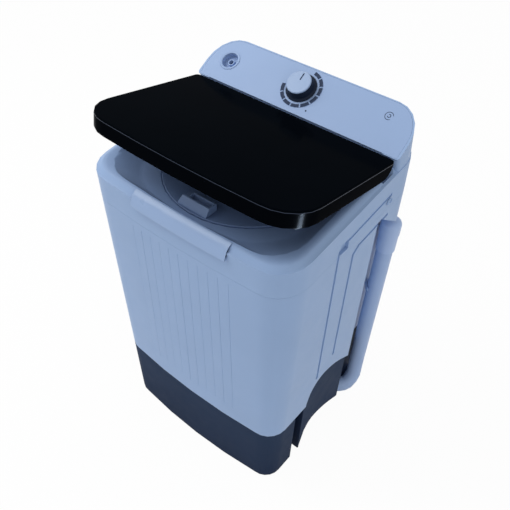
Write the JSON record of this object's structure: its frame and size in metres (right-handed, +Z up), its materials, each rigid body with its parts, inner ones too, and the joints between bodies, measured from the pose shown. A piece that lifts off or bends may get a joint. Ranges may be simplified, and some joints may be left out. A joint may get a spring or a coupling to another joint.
{
  "type": "spin dryer",
  "caption": "Upright spin dryer with a tapered body, dished top, raised rear control panel, tilting outer lid, inner cover, spin basket and corner drain hose.",
  "frame": {"origin": "on the floor, under the middle of the machine's bounding box", "axes": "+Z up, the front grip faces -Y, +X is the side with the drain hose"},
  "size_m": [0.4315, 0.3736, 0.707],
  "materials": {
    "body_plastic": "smooth, low gloss, pale blue-grey",
    "base_plastic": "satin, dark blue-grey",
    "grip_plastic": "smooth",
    "fascia_plastic": "smooth, low gloss",
    "dark_plastic": "satin",
    "inlet_plastic": "smooth",
    "lid_plastic": "polished black",
    "lid_gloss": "high-gloss black",
    "trim_metal": "thin bright edge",
    "cover_plastic": "smooth, translucent-looking blue-grey",
    "tub_plastic": "natural moulded",
    "stainless": "brushed, perforated",
    "steel": "bright",
    "cast_metal": "as cast",
    "rubber": "matt",
    "hose_plastic": "smooth"
  },
  "bodies": {
    "housing": {"cabinet": "body_plastic", "base": "base_plastic", "top_frame": "body_plastic", "foot_front_left": "rubber", "foot_front_right": "rubber", "foot_rear_left": "rubber", "foot_rear_right": "rubber", "rear_cover": "body_plastic", "front_grip": "grip_plastic", "console_fascia": "fascia_plastic", "dial_ring": "dark_plastic", "spin_timer": "dark_plastic", "rinse_inlet": "inlet_plastic", "lid_switch": "dark_plastic", "switch_bracket": "steel", "cover_pin": "steel", "drain_tub": "tub_plastic", "shaft_seal": "rubber", "bearing_upper": "steel", "bearing_lower": "steel", "motor": "cast_metal", "motor_carrier": "steel", "brake_cable": "rubber", "spring_1": "steel", "spring_2": "steel", "spring_3": "steel", "spring_cup_1": "rubber", "spring_cup_2": "rubber", "spring_cup_3": "rubber", "capacitor": "tub_plastic", "capacitor_strap": "steel", "cord_gland": "rubber", "drain_hose": "hose_plastic", "hose_end_cap": "hose_plastic", "hose_clip": "body_plastic", "hose_hook": "body_plastic"},
    "lid": {"lid_frame": "lid_plastic", "lid_trim": "trim_metal", "lid_panel": "lid_gloss", "lid_pin_right": "steel", "lid_pin_left": "steel"},
    "inner_cover": {"spin_cover": "cover_plastic", "cover_latch": "cover_plastic"},
    "knob": {"knob_skirt": "dark_plastic", "knob_cap": "grip_plastic", "timer_shaft": "steel"},
    "basket": {"spin_basket": "stainless", "basket_hub": "cast_metal", "hub_nut": "steel", "drive_shaft": "steel", "brake_drum": "cast_metal", "rotor_shaft": "steel"},
    "brake_arm": {"brake_lever": "steel", "brake_pad": "rubber"},
    "switch_arm": {"switch_lever": "inlet_plastic"}
  },
  "joints": [
    {"name": "lid_hinge", "type": "hinge", "parent": "housing", "child": "lid", "pos_m": [0, 0.08662, 0.63795], "axis": [-1, 0, 0], "range_deg": [-16, 70]},
    {"name": "inner_cover_hinge", "type": "hinge", "parent": "housing", "child": "inner_cover", "pos_m": [0, 0.09284, 0.592], "axis": [-1, 0, 0], "range_deg": [0, 5]},
    {"name": "knob_turn", "type": "hinge", "parent": "housing", "child": "knob", "pos_m": [-0.008, 0.14765, 0.67385], "axis": [0, -0.503, 0.8643], "range_deg": [-300, 0]},
    {"name": "basket_spin", "type": "hinge", "parent": "housing", "child": "basket", "pos_m": [0, -0.02016, 0.25], "axis": [0, 0, 1], "continuous": true},
    {"name": "brake_arm_turn", "type": "hinge", "parent": "housing", "child": "brake_arm", "pos_m": [0.074, -0.02016, 0.214], "axis": [0, 0, 1], "range_deg": [-0.32, 1.4]},
    {"name": "switch_arm_turn", "type": "hinge", "parent": "housing", "child": "switch_arm", "pos_m": [0.158, 0.11884, 0.612], "axis": [1, 0, 0], "range_deg": [-3.2, 14]}
  ],
  "couplings": [
    {"joint": "brake_arm_turn", "follows": "lid_hinge", "ratio": 0.02},
    {"joint": "switch_arm_turn", "follows": "lid_hinge", "ratio": 0.2}
  ]
}
